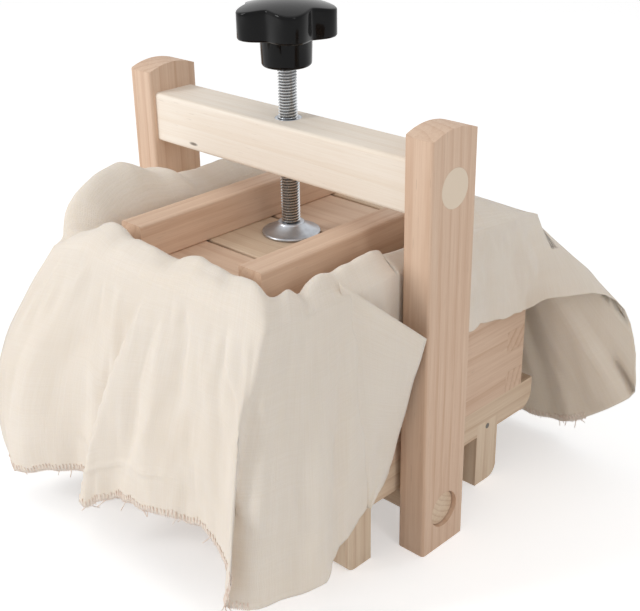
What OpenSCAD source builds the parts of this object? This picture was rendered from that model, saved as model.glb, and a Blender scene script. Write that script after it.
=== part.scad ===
// Wooden screw press for tofu: a slatted base on legs, a finger-jointed mould,
// a slatted lid, a frame with a hand screw, and the cloth that lines the mould.
// X runs along the cross beam, Y to the back, Z up. The origin is on the table
// straight under the screw.

/* [Frame] */
// Clearance between the mould and the inner face of the right post
post_clear = 3; // [2:0.5:6]
// Thickness of each post, along the beam
post_t = 17; // [14:0.5:22]
// Width of each post, front to back
post_w = 33; // [30:1:40]
// Height of a post at the top of its crown
post_h = 225.5; // [222:0.5:240]
// Rise of the crown on top of a post
post_crown = 3.5; // [1:0.5:6]
// Radius of the softened wood edges of the frame
frame_round = 2; // [1:0.5:3]
// Side of the square cross beam
beam_side = 27; // [24:1:30]
// Height of the underside of the cross beam
beam_z = 183.5; // [181:0.5:186]
// Diameter of the round tenons on the beam
tenon_d = 19.5; // [14:0.5:21]
// Radial clearance of the tenons in the posts
tenon_play = 0.05; // [0.03:0.01:0.2]
// Diameter of the loose rod through the feet of the posts
rod_d = 19; // [14:0.5:19]
// Height of the loose rod's axis
rod_z = 22; // [20:0.5:22]
// How far each end of the loose rod lies inside its post
rod_recess = 2.5; // [0:0.5:4]
// Radial clearance of the loose rod in its holes
rod_play = 0.5; // [0.3:0.1:1]

/* [Screw] */
// Outer diameter of the threaded rod
screw_d = 10; // [8:0.5:12]
// Radial running clearance of the rod in its insert
screw_play = 0.08; // [0.03:0.01:0.1]
// Outer diameter of the threaded insert in the beam
insert_d = 14; // [13:0.5:16]
// Length of the threaded insert
insert_len = 22; // [12:1:27]
// Height of the underside of the knob's hub
hub_z = 237; // [232:1:242]
// Diameter of the knob's hub
hub_d = 25; // [22:0.5:28]
// Height of the knob's hub below the lobes
hub_h = 14; // [10:0.5:18]
// Diameter across the knob's lobes
knob_d = 50; // [46:1:56]
// Number of lobes on the knob
knob_lobes = 5; // [5:1:6]
// Radius of each lobe's round end
lobe_r = 7.6; // [7:0.1:8.5]
// Height of the straight side of a lobe
lobe_side = 13; // [10:0.5:16]
// Height of the knob's dome above the lobe sides
knob_dome = 7; // [4:0.5:9]
// Depth of the rod in the knob, from the hub's underside
knob_socket = 21; // [15:0.5:24]
// Outer diameter of the metal bush in the knob
bush_d = 15; // [14:0.5:18]
// Diameter of the dished foot
foot_d = 31; // [28:0.5:34]
// Height of the dished foot
foot_h = 6.4; // [6:0.2:9]
// Wall thickness of the dished foot
foot_t = 1.6; // [1.2:0.1:2]
// Diameter of the neck turned on the rod's lower end
neck_d = 6.5; // [5:0.5:7]
// Diameter of the button below the neck, which holds the foot on
button_d = 10.4; // [10:0.2:12]
// Clearance between the foot and the rod's turned end
foot_play = 0.3; // [0.2:0.1:0.5]

/* [Lid] */
// Height of the upper face of the lid's slats
lid_z = 148; // [147:0.5:149]
// Clearance between the lid and the mould's left and right walls
lid_side_gap = 4.5; // [3:0.5:8]
// Clearance between the lid and the mould's front wall
lid_front_gap = 2.2; // [1.6:0.1:5]
// Clearance between the lid and the mould's back wall
lid_back_gap = 4.8; // [1.6:0.1:8]
// Thickness of the lid's slats
lid_slat_t = 10.5; // [8:0.5:12]
// Width of the last slat of the lid, as a share of a full one
last_slat_share = 0.355; // [0.3:0.005:1]
// Gap between slats
slat_gap = 2; // [1.5:0.1:2.5]
// Width of each cleat on the lid
cleat_w = 15; // [12:0.5:17]
// Height of each cleat on the lid
cleat_h = 20; // [16:0.5:20]
// How far the cleats stop short of the lid's front and back edges
cleat_inset = 3; // [1:0.5:5]
// Distance from each side of the lid to its cleat
cleat_side = 5; // [3:0.5:8]
// Shift of the mould, base and lid from the screw, along X
mould_x = 11.5; // [11:0.5:12]
// Clearance between the lid and the foot that presses it
press_play = 0.2; // [0.1:0.1:0.3]

/* [Mould] */
// Outer width of the mould, along the beam
mould_w = 151; // [150:0.5:151]
// Outer length of the mould, front to back
mould_len = 196; // [196:1:198]
// Shift of the mould's middle from the screw, along Y
mould_y = -3; // [-3.5:0.5:-2.5]
// Thickness of the mould's walls
wall_t = 15.5; // [14:0.5:15.5]
// Number of fingers on each corner, top to bottom
finger_count = 8; // [6:2:10]
// Height of one finger
finger_h = 12.6; // [12:0.1:12.6]
// Clearance on the faces of the fingers
finger_play = 0.1; // [0.05:0.05:0.2]
// Radius of the mould's softened lower edges
wall_round = 1; // [0.5:0.5:2]

/* [Base] */
// Height of the top of the base rails, where the mould rests
rail_z = 50; // [50:0.5:51]
// Height of the base rails
rail_h = 18; // [17:0.5:18]
// Width of the base rails
rail_w = 24; // [22:0.5:26]
// How far a rail runs past the mould at the front and back
rail_over = 11; // [5:1:14]
// Radius of the rounded lower corners at the rail ends
rail_round = 9; // [4:1:12]
// Width of a leg, front to back
leg_w = 19; // [16:1:22]
// Thickness of a leg, along the beam
leg_t = 18; // [14:0.5:20]
// How far the legs are let into the rails
leg_let = 7; // [4:0.5:10]
// Distance from the ends of the mould to the legs' middles, on average
leg_inset = 44; // [38:1:48]
// Shift of the legs' middle from the mould's, along Y
leg_shift = 13; // [8:1:18]
// Radius of the outer lower corner of a leg
leg_round = 7; // [3:0.5:9]
// Thickness of the floor slats
floor_t = 10; // [8:0.5:12]
// Clearance of the floor slats inside the mould
floor_play = 0.5; // [0.3:0.1:1]
// Diameter of the nails
nail_d = 1.8; // [1.4:0.1:2.2]
// Diameter of the nail heads
nail_head_d = 3.2; // [2.6:0.1:4]
// Thickness of the nail heads
nail_head_t = 0.8; // [0.5:0.1:1.2]
// Depth to which a nail goes into the second piece
nail_grip = 9; // [6:0.5:12]
// Radial clearance of a nail in its hole
nail_play = 0.04; // [0.02:0.01:0.08]

/* [Cloth] */
// Thickness of the gathered cloth
cloth_t = 1.1; // [0.9:0.1:1.2]
// Clearance of the cloth from the wood
cloth_play = 0.4; // [0.3:0.05:0.45]
// Depth of the cloth inside the mould, below the top of the walls
cloth_tuck = 14; // [8:1:18]
// Spacing of the points along the cloth
cloth_step = 8; // [7:0.5:10]
// Number of rows from the top of the wall to the hem
cloth_rows = 9; // [7:1:10]

/* [Hidden] */
$fn = 48;
eps = 0.01;

// The frame
post_gap = mould_w + 2 * (mould_x + post_clear);
post_x = (post_gap + post_t) / 2;
frame_half = post_gap / 2 + post_t;
tenon_z = beam_z + beam_side / 2;
beam_top = beam_z + beam_side;
crown_r = (pow(post_w / 2, 2) + pow(post_crown, 2)) / (2 * post_crown);
rod_half = frame_half - rod_recess;

// The screw
foot_z = lid_z + press_play;
button_z = foot_z + 0.6;
lip_z = foot_z + foot_h - foot_t;
button_t = lip_z - foot_play - button_z;
shoulder_z = foot_z + foot_h + foot_play;
rod_top_z = hub_z + knob_socket;
lobe_z = hub_z + hub_h;
knob_top_z = lobe_z + lobe_side + knob_dome;
lobe_pitch_r = knob_d / 2 - lobe_r;
dome_r = (pow(knob_d / 2, 2) + pow(knob_dome, 2)) / (2 * knob_dome);

// The mould
wall_z = rail_z;
wall_h = finger_count * finger_h;
wall_top = wall_z + wall_h;
out_x0 = mould_x - mould_w / 2;
out_x1 = mould_x + mould_w / 2;
out_y0 = mould_y - mould_len / 2;
out_y1 = mould_y + mould_len / 2;
in_x0 = out_x0 + wall_t;
in_x1 = out_x1 - wall_t;
in_y0 = out_y0 + wall_t;
in_y1 = out_y1 - wall_t;

// The lid
lid_w = in_x1 - in_x0 - 2 * lid_side_gap;
lid_y0 = in_y0 + lid_front_gap;
lid_y1 = in_y1 - lid_back_gap;
lid_len = lid_y1 - lid_y0;
lid_low = lid_z - lid_slat_t;
slat_w = (lid_len - 3 * slat_gap) / (3 + last_slat_share);
slat_pitch = slat_w + slat_gap;
cleat_x = lid_w / 2 - cleat_side - cleat_w / 2;
cleat_y0 = lid_y0 + cleat_inset;
cleat_len = lid_len - 2 * cleat_inset;

// The base
rail_low = rail_z - rail_h;
rail_len = mould_len + 2 * rail_over;
rail_x = mould_w / 2 - rail_w / 2;
leg_top = rail_low + leg_let;
leg_x = mould_w / 2 - leg_t / 2;
leg_pitch = mould_len - 2 * leg_inset;
leg_y = mould_y + leg_shift;
floor_w = in_x1 - in_x0 - 2 * floor_play;
floor_y0 = in_y0 + floor_play;
floor_len = in_y1 - in_y0 - 2 * floor_play;
floor_slats = 4;
floor_slat_w = (floor_len - (floor_slats - 1) * slat_gap) / floor_slats;

// Rectangle with round corners, centred
module round_rect(w, h, r) {
    square([w - 2 * r, h], center = true);
    square([w, h - 2 * r], center = true);
    for (x = [-1, 1], y = [-1, 1])
        translate([x * (w / 2 - r), y * (h / 2 - r)])
            circle(r);
}

// Bar along Z with round long edges, its foot at z = 0
module bar_z(w, d, h, r) {
    linear_extrude(h)
        round_rect(w, d, r);
}

// Bar along X with round long edges, centred
module bar_x(len, d, h, r) {
    rotate([90, 0, 90])
        linear_extrude(len, center = true)
            round_rect(d, h, r);
}

// Bar along Y with round long edges, its front end at y = 0
module bar_y(w, len, h, r) {
    translate([0, len, 0])
        rotate([90, 0, 0])
            linear_extrude(len)
                round_rect(w, h, r);
}

// Straight round pin along X, centred
module pin_x(d, len) {
    rotate([0, 90, 0])
        cylinder(d = d, h = len, center = true);
}

// ---- frame ----

module post() {
    color("burlywood")
        difference() {
            intersection() {
                bar_z(post_t, post_w, post_h, frame_round);
                union() {
                    translate([-post_t, -post_w, 0])
                        cube([2 * post_t, 2 * post_w, post_h - crown_r]);
                    translate([0, 0, post_h - crown_r])
                        pin_x(2 * crown_r, 2 * post_t);
                }
            }
            translate([0, 0, tenon_z])
                pin_x(tenon_d + 2 * tenon_play, 2 * post_t);
            translate([0, 0, rod_z])
                pin_x(rod_d + 2 * rod_play, 2 * post_t);
        }
}

module cross_beam() {
    color("antiquewhite")
        difference() {
            translate([0, 0, tenon_z]) {
                bar_x(post_gap, beam_side, beam_side, frame_round);
                pin_x(tenon_d, 2 * frame_half);
            }
            translate([0, 0, beam_top - insert_len])
                cylinder(d = insert_d, h = insert_len + eps);
            translate([0, 0, beam_z - eps])
                cylinder(d = screw_d + 1, h = beam_side);
        }
}

module beam_insert() {
    color("silver")
        translate([0, 0, beam_top - insert_len])
            difference() {
                cylinder(d = insert_d, h = insert_len);
                translate([0, 0, -eps])
                    cylinder(d = screw_d + 2 * screw_play, h = insert_len + 2 * eps);
            }
}

module cross_rod() {
    color("wheat")
        translate([0, 0, rod_z])
            pin_x(rod_d, 2 * rod_half);
}

// ---- screw ----

module threaded_spindle() {
    lead_in = 1.2;
    color("silver")
        rotate_extrude()
            polygon([[0, button_z], [button_d / 2, button_z],
                [button_d / 2, button_z + button_t],
                [neck_d / 2, button_z + button_t], [neck_d / 2, shoulder_z],
                [screw_d / 2 - lead_in / 2, shoulder_z],
                [screw_d / 2, shoulder_z + lead_in],
                [screw_d / 2, rod_top_z - lead_in],
                [screw_d / 2 - lead_in, rod_top_z], [0, rod_top_z]]);
}

module star_knob() {
    hub_soft = 2;
    color("#141414")
        difference() {
            union() {
                translate([0, 0, hub_z])
                    rotate_extrude()
                        polygon([[0, 0], [hub_d / 2 - hub_soft, 0],
                            [hub_d / 2 - 0.5, hub_soft], [hub_d / 2, hub_h],
                            [hub_d / 2, hub_h + 1], [0, hub_h + 1]]);
                intersection() {
                    translate([0, 0, lobe_z])
                        linear_extrude(lobe_side + knob_dome)
                            star_outline();
                    translate([0, 0, knob_top_z - dome_r])
                        sphere(dome_r, $fn = 96);
                }
            }
            translate([0, 0, hub_z - eps])
                cylinder(d = bush_d, h = knob_socket + eps);
        }
}

// Outline of the lobes and the disc that joins them
module star_outline() {
    circle(lobe_pitch_r - 1);
    for (i = [0 : knob_lobes - 1])
        rotate(i * 360 / knob_lobes - 38)
            translate([lobe_pitch_r, 0])
                circle(lobe_r);
}

module knob_bush() {
    color("silver")
        translate([0, 0, hub_z])
            difference() {
                cylinder(d = bush_d, h = knob_socket);
                translate([0, 0, -eps])
                    cylinder(d = screw_d + 2 * tenon_play, h = knob_socket + 2 * eps);
            }
}

module foot_disc() {
    hole_r = neck_d / 2 + foot_play;
    pocket_r = button_d / 2 + foot_play;
    crown = pocket_r + foot_t;
    color("lightgray")
        translate([0, 0, foot_z])
            rotate_extrude()
                polygon([[pocket_r, 0], [foot_d / 2 - 0.6, 0], [foot_d / 2, 0.6],
                    [foot_d / 2, 1.2], [foot_d / 2 - 1.6, 2.1],
                    [(foot_d / 2 + crown) / 2, 3.4], [crown + 0.8, foot_h - 0.9],
                    [crown - 0.6, foot_h], [hole_r, foot_h],
                    [hole_r, foot_h - foot_t], [pocket_r, foot_h - foot_t]]);
}

// ---- lid ----

function slat_y(i) = lid_y0 + i * slat_pitch;
function slat_width(i) = min(slat_w, lid_y1 - slat_y(i));

// Places of the nails that join slats and cleats
function lid_nail_spots() = [for (side = [-1, 1], i = [0 : 3], k = [0.3, 0.7])
    [mould_x + side * cleat_x, slat_y(i) + k * slat_width(i)]];

module nail_hole(len) {
    cylinder(d = nail_d + 2 * nail_play, h = len);
}

// A nail that points up from its head at z = 0
module nail() {
    cylinder(d = nail_head_d, h = nail_head_t);
    cylinder(d = nail_d, h = lid_slat_t + nail_grip);
}

module lid_slat(i) {
    color("tan")
        difference() {
            translate([mould_x, slat_y(i) + slat_width(i) / 2, lid_low + lid_slat_t / 2])
                bar_x(lid_w, slat_width(i), lid_slat_t, 0.8);
            for (p = lid_nail_spots())
                if (p[1] > slat_y(i) && p[1] < slat_y(i) + slat_width(i))
                    translate([p[0], p[1], lid_low - eps]) {
                        nail_hole(lid_slat_t + 1);
                        cylinder(d = nail_head_d + 2 * nail_play, h = nail_head_t + nail_play);
                    }
        }
}

module lid_cleat(side) {
    color("rosybrown")
        difference() {
            translate([mould_x + side * cleat_x, cleat_y0, lid_z + cleat_h / 2])
                bar_y(cleat_w, cleat_len, cleat_h, 1.2);
            for (p = lid_nail_spots())
                if ((p[0] - mould_x) * side > 0)
                    translate([p[0], p[1], lid_z - 1])
                        nail_hole(nail_grip + 1.1);
        }
}

module lid_nails() {
    color("gray")
        for (p = lid_nail_spots())
            translate([p[0], p[1], lid_low])
                nail();
}

// ---- mould ----

// Fingers at one end of a wall that runs along +X from x = 0. The odd ones stay.
module finger_cuts(odd) {
    for (i = [0 : finger_count - 1])
        if (i % 2 == odd)
            translate([-eps, -eps, i * finger_h - (i == 0 ? eps : finger_play / 2)])
                cube([wall_t + finger_play + eps, wall_t + 2 * eps,
                    finger_h + finger_play / 2 + (i == 0 ? eps : finger_play / 2)
                    + (i == finger_count - 1 ? 1 : 0)]);
}

// Straight wall along X with finger joints at both ends
module wall(len, odd) {
    difference() {
        cube([len, wall_t, wall_h]);
        finger_cuts(odd);
        translate([len, 0, 0])
            mirror([1, 0, 0])
                finger_cuts(odd);
    }
}

module wall_across(y) {
    color("burlywood")
        translate([out_x0, y, wall_z])
            wall(mould_w, 1);
}

module wall_along(x) {
    color("tan")
        translate([x + wall_t, out_y0, wall_z])
            rotate(90)
                wall(mould_len, 0);
}

// ---- base ----

// Profile of a rail seen from the side, with round lower corners
module rail_profile() {
    difference() {
        square([rail_len, rail_h]);
        for (end = [0, 1])
            translate([end * rail_len, 0])
                mirror([end, 0])
                    difference() {
                        translate([-1, -1])
                            square(rail_round + 1);
                        translate([rail_round, rail_round])
                            circle(rail_round);
                    }
    }
}

module rail(side) {
    x0 = mould_x + side * rail_x;
    color("burlywood")
        difference() {
            translate([x0 - rail_w / 2, mould_y - rail_len / 2, rail_low])
                rotate([90, 0, 90])
                    linear_extrude(rail_w)
                        rail_profile();
            for (end = [-1, 1])
                translate([mould_x + side * leg_x - leg_t / 2 - (side < 0 ? 1 : 0),
                    leg_y + end * leg_pitch / 2 - leg_w / 2, rail_low - 1])
                    cube([leg_t + 1, leg_w, leg_let + 1]);
            for (p = floor_nail_spots())
                translate([p[0], p[1], rail_z - nail_grip])
                    nail_hole(nail_grip + 1);
        }
}

module leg(side, end) {
    inner = mould_x + side * leg_x;
    color("wheat")
        difference() {
            translate([inner - leg_t / 2, leg_y + end * leg_pitch / 2 - leg_w / 2, 0])
                cube([leg_t, leg_w, leg_top]);
            translate([inner, leg_y + end * (leg_pitch / 2 + leg_w / 2), 0])
                mirror([0, end > 0 ? 1 : 0, 0])
                    translate([-leg_t, -eps, -eps])
                        difference() {
                            cube([2 * leg_t, leg_round, leg_round]);
                            translate([leg_t, leg_round, leg_round])
                                pin_x(2 * leg_round, 3 * leg_t);
                        }
            leg_nail_at(side, end, nail_play);
        }
}

// Nail that goes into a leg from the rail's outer face
module leg_nail_at(side, end, play) {
    translate([mould_x + side * mould_w / 2, leg_y + end * leg_pitch / 2, rail_low + leg_let / 2])
        rotate([0, -90 * side, 0])
            union() {
                translate([0, 0, -eps])
                    cylinder(d = nail_d + 2 * play, h = nail_grip + play);
                translate([0, 0, -eps])
                    cylinder(d = nail_head_d + 2 * play, h = nail_head_t + play);
            }
}

module leg_nails() {
    color("gray")
        for (side = [-1, 1], end = [-1, 1])
            leg_nail_at(side, end, 0);
}

function floor_slat_y(i) = floor_y0 + i * (floor_slat_w + slat_gap);

// Nails near both ends of each floor slat, over the ledges of the rails
function floor_nail_spots() = [for (side = [-1, 1], i = [0 : floor_slats - 1], k = [0.3, 0.7])
    [mould_x + side * (mould_w / 2 - (rail_w + wall_t + floor_play) / 2),
        floor_slat_y(i) + k * floor_slat_w]];

module floor_slat(i) {
    color("wheat")
        difference() {
            translate([mould_x, floor_slat_y(i) + floor_slat_w / 2, rail_z + floor_t / 2])
                bar_x(floor_w, floor_slat_w, floor_t, 0.8);
            for (p = floor_nail_spots())
                if (p[1] > floor_slat_y(i) && p[1] < floor_slat_y(i) + floor_slat_w)
                    translate([p[0], p[1], rail_z - 1]) {
                        nail_hole(floor_t + 2);
                        translate([0, 0, 1 + floor_t - nail_head_t - nail_play])
                            cylinder(d = nail_head_d + 2 * nail_play, h = 2);
                    }
        }
}

module floor_nails() {
    color("gray")
        for (p = floor_nail_spots())
            translate([p[0], p[1], rail_z + floor_t])
                mirror([0, 0, 1]) {
                    cylinder(d = nail_head_d, h = nail_head_t);
                    cylinder(d = nail_d, h = floor_t + nail_grip - nail_play);
                }
}

// ---- cloth ----
// The cloth hangs over the four walls. A place on it is a distance along the
// outer top edge of the walls, and a row from the tuck inside to the hem.
// Distances run anticlockwise from the front left corner.

side_front = mould_w;
side_right = side_front + mould_len;
side_back = side_right + mould_w;
side_left = side_back + mould_len;

// Where the cloth comes to the right post and leaves it
at_post_front = side_front - out_y0 - post_w / 2 - 1.2;
at_post_back = side_front - out_y0 + post_w / 2 + 1.2;

// Share of the way along the side that s lies on, and a walk round a rectangle
function side_of(s) = s < side_front ? 0 : s < side_right ? 1 : s < side_back ? 2 : s < side_left ? 3 : 4;
function side_share(s) =
    side_of(s) == 0 ? s / mould_w
    : side_of(s) == 1 ? (s - side_front) / mould_len
    : side_of(s) == 2 ? (s - side_right) / mould_w
    : side_of(s) == 3 ? (s - side_back) / mould_len
    : 0;
function round_walk(s, x0, x1, y0, y1) =
    let (f = side_share(s))
    side_of(s) == 0 ? [x0 + f * (x1 - x0), y0]
    : side_of(s) == 1 ? [x1, y0 + f * (y1 - y0)]
    : side_of(s) == 2 ? [x1 - f * (x1 - x0), y1]
    : side_of(s) == 3 ? [x0, y1 - f * (y1 - y0)]
    : [x0, y0];
function edge_xy(s) = round_walk(s, out_x0, out_x1, out_y0, out_y1);
function inner_xy(s) = round_walk(s, in_x0 + cloth_play, in_x1 - cloth_play,
    in_y0 + cloth_play, in_y1 - cloth_play);

// Direction square to the walls, which turns round each corner
fan_len = 30;
function turn(s, at_corner) = lookup(s, [[0, at_corner[0]], [fan_len, 270],
    [side_front - fan_len, 270], [side_front, at_corner[1]], [side_front + fan_len, 360],
    [side_right - fan_len, 360], [side_right, at_corner[2]], [side_right + fan_len, 450],
    [side_back - fan_len, 450], [side_back, at_corner[3]], [side_back + fan_len, 540],
    [side_left - fan_len, 540], [side_left, at_corner[0] + 360]]);
// The cloth's own corners hang out in these directions, and lie true inside
hang_dirs = [225, 295, 390, 515];
true_dirs = [225, 315, 405, 495];
function out_dir(s) = [cos(turn(s, hang_dirs)), sin(turn(s, hang_dirs)), 0];
function wall_dir(s) = [cos(turn(s, true_dirs)), sin(turn(s, true_dirs)), 0];

// Places at a share of each side
function front_at(share) = share * mould_w;
function right_at(share) = side_front + share * mould_len;
function back_at(share) = side_right + share * mould_w;
function left_at(share) = side_back + share * mould_len;

// Height of the cloth above the wall's top, height of the hem, and how far the
// hem stands off the wall, along the edge
rise_at = [[0, 20], [front_at(0.265), 9], [front_at(0.795), 7], [side_front, 2], [side_right, 3],
    [back_at(0.8), 6], [side_back, 8], [left_at(0.35), 10], [left_at(0.59), 13],
    [left_at(0.745), 25], [side_left, 20]];
hem_at = [[0, 12], [front_at(0.3), 27], [front_at(0.73), 34], [front_at(0.92), 14], [side_front, 5],
    [right_at(0.112), 14], [at_post_front, 48], [at_post_back, 90],
    [right_at(0.94), 84], [side_right, 50], [back_at(0.2), 14], [back_at(0.735), 24],
    [side_back, 14], [left_at(0.18), 34], [left_at(0.8), 34], [side_left, 12]];
flare_at = [[0, 40], [front_at(0.23), 18], [front_at(0.73), 14], [side_front, 30],
    [right_at(0.128), 14], [at_post_front - 12, 16], [at_post_front, 0], [at_post_back, 0],
    [right_at(0.94), 1], [side_right, 58], [back_at(0.2), 26], [back_at(0.735), 16],
    [back_at(0.9), 43], [side_back, 79], [left_at(0.23), 12], [left_at(0.337), 9],
    [left_at(0.694), 12], [side_left, 40]];

// Folds run down the cloth, deeper toward the hem
fold_len = 37;
function fold(s) = 0.5 - 0.5 * cos(360 * s / fold_len);
function fold_depth(s) = lookup(s, [[0, 0], [front_at(0.23), 10], [front_at(0.73), 9],
    [side_front, 0], [at_post_front - 25, 5], [at_post_front, 0], [at_post_back, 0],
    [side_right, 0], [back_at(0.265), 9], [side_back, 0], [left_at(0.235), 6], [side_left, 0]]);

// Distance of the cloth from the wall, for a share v of the way down to the hem
function stand_off(s, v) =
    cloth_play + lookup(s, flare_at) * sin(90 * v) + fold_depth(s) * fold(s) * v;

// Point of the cloth's face next to the wood, for row r of the section at s:
// two rows inside, three over the wall and the rest down to the hem
over_rows = 5;
function near_point(s, r) =
    let (top = wall_top + cloth_play, lift = lookup(s, rise_at), p = edge_xy(s),
        q = inner_xy(s), v = (r - over_rows) / cloth_rows, bend = top + 0.4 * lift,
        over = q + (p - q) * (r - 1) / 4)
    r == 0 ? [q[0], q[1], wall_top - cloth_tuck]
    : r == 1 ? [q[0], q[1], top + 0.4 * lift]
    : r < over_rows ? [over[0], over[1], top + lift * (r == 3 ? 1 : 0.85)]
    : concat(p + stand_off(s, v) * [out_dir(s)[0], out_dir(s)[1]],
        bend - v * (bend - lookup(s, hem_at)));

// The other face lies one thickness away from the wood
function face_dir(s, r) = r < 2 ? -wall_dir(s) : r < over_rows ? [0, 0, 1] : out_dir(s);
function far_point(s, r) = near_point(s, r) + cloth_t * face_dir(s, r);

// Closed sheet between two places on the edge
module cloth_panel(s0, s1) {
    n = ceil((s1 - s0) / cloth_step);
    m = over_rows + cloth_rows + 1;
    s = [for (i = [0 : n]) s0 + (s1 - s0) * i / n];
    near = [for (a = s, r = [0 : m - 1]) near_point(a, r)];
    far = [for (a = s, r = [0 : m - 1]) far_point(a, r)];
    k = len(near);
    faces = [
        for (i = [0 : n - 1], r = [0 : m - 2])
            let (a = i * m + r, b = a + m)
            each [[a, b + 1, b], [a, a + 1, b + 1],
                [k + a, k + b, k + b + 1], [k + a, k + b + 1, k + a + 1]],
        for (r = [0 : m - 2], i = [0, n])
            let (a = i * m + r)
            each i == 0 ? [[a, k + a, k + a + 1], [a, k + a + 1, a + 1]]
                : [[a, k + a + 1, k + a], [a, a + 1, k + a + 1]],
        for (i = [0 : n - 1], r = [0, m - 1])
            let (a = i * m + r, b = a + m)
            each r == 0 ? [[a, b, k + b], [a, k + b, k + a]]
                : [[a, k + b, b], [a, k + a, k + b]]];
    color("linen")
        polyhedron(concat(near, far), faces);
}

translate([-post_x, 0, 0]) post();  // post_left
translate([post_x, 0, 0]) post();  // post_right
cross_beam();
beam_insert();
cross_rod();
threaded_spindle();
star_knob();
knob_bush();
foot_disc();
lid_slat(0);  // lid_slat_1
lid_slat(1);  // lid_slat_2
lid_slat(2);  // lid_slat_3
lid_slat(3);  // lid_slat_4
lid_cleat(-1);  // lid_cleat_left
lid_cleat(1);  // lid_cleat_right
lid_nails();
wall_across(out_y0);  // wall_front
wall_across(out_y1 - wall_t);  // wall_back
wall_along(out_x0);  // wall_left
wall_along(out_x1 - wall_t);  // wall_right
rail(-1);  // rail_left
rail(1);  // rail_right
leg(-1, -1);  // leg_front_left
leg(1, -1);  // leg_front_right
leg(-1, 1);  // leg_back_left
leg(1, 1);  // leg_back_right
floor_slat(0);  // floor_slat_1
floor_slat(1);  // floor_slat_2
floor_slat(2);  // floor_slat_3
floor_slat(3);  // floor_slat_4
floor_nails();
leg_nails();
cloth_panel(0, side_front);  // cloth_front
cloth_panel(side_back, side_left);  // cloth_left
cloth_panel(side_right, side_back);  // cloth_back
cloth_panel(at_post_back, side_right);  // cloth_right_back
cloth_panel(side_front, at_post_front);  // cloth_right_front
cloth_panel(at_post_front, at_post_back);  // cloth_right_middle
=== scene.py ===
"""Dress and light a wooden tofu press with a star-knob screw and a muslin cloth.

The frame gives every rigid piece in metres, X along the cross beam, Y to the back
and Z up from the table. Sizes below are in millimetres, as a maker writes them,
and MM turns them into metres.
"""
import logging
import math
import random
from dataclasses import dataclass
from enum import Enum
from typing import Iterable, Sequence

import bmesh
import bpy
from mathutils import Euler, Matrix, Vector, noise

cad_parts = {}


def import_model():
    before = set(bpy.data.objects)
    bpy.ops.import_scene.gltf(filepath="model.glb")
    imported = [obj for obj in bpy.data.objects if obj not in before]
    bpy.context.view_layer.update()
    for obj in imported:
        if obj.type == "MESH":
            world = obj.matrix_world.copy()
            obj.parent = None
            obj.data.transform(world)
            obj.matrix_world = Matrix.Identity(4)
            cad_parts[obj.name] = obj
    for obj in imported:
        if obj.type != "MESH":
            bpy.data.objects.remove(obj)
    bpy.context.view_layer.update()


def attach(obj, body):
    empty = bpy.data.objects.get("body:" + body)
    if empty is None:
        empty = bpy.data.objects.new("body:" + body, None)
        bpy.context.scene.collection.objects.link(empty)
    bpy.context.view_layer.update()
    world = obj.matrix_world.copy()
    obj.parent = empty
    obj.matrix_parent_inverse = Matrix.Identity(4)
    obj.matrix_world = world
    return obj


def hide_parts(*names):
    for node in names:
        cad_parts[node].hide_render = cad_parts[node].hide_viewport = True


Colour = tuple[float, float, float, float]
Point = tuple[float, float, float]
Material = bpy.types.Material
Socket = bpy.types.NodeSocket
Piece = bpy.types.Object
Table = Sequence[tuple[float, ...]]

LOG = logging.getLogger("tofu_press")
MM = 0.001
IMAGE_WIDTH = 640
WHITE: Colour = (1.0, 1.0, 1.0, 1.0)


class Axis(Enum):
    """Direction in which a piece of wood was sawn, along its grain."""

    X = "x"
    Y = "y"
    Z = "z"


def linear(red: int, green: int, blue: int) -> Colour:
    """Turn a display colour into the linear one that shaders take.

    Args:
        red: Red, 0 to 255.
        green: Green, 0 to 255.
        blue: Blue, 0 to 255.

    Returns:
        The linear colour with an alpha of 1.
    """
    def channel(value: float) -> float:
        """Undo the display curve for one channel."""
        return value / 12.92 if value <= 0.04045 else ((value + 0.055) / 1.055) ** 2.4
    return (channel(red / 255), channel(green / 255), channel(blue / 255), 1.0)


def darker(colour: Colour, factor: float) -> Colour:
    """Scale a colour's light and keep it opaque."""
    return tuple(c * factor for c in colour[:3]) + (1.0,)


# ---------------------------------------------------------------- node helpers


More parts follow.
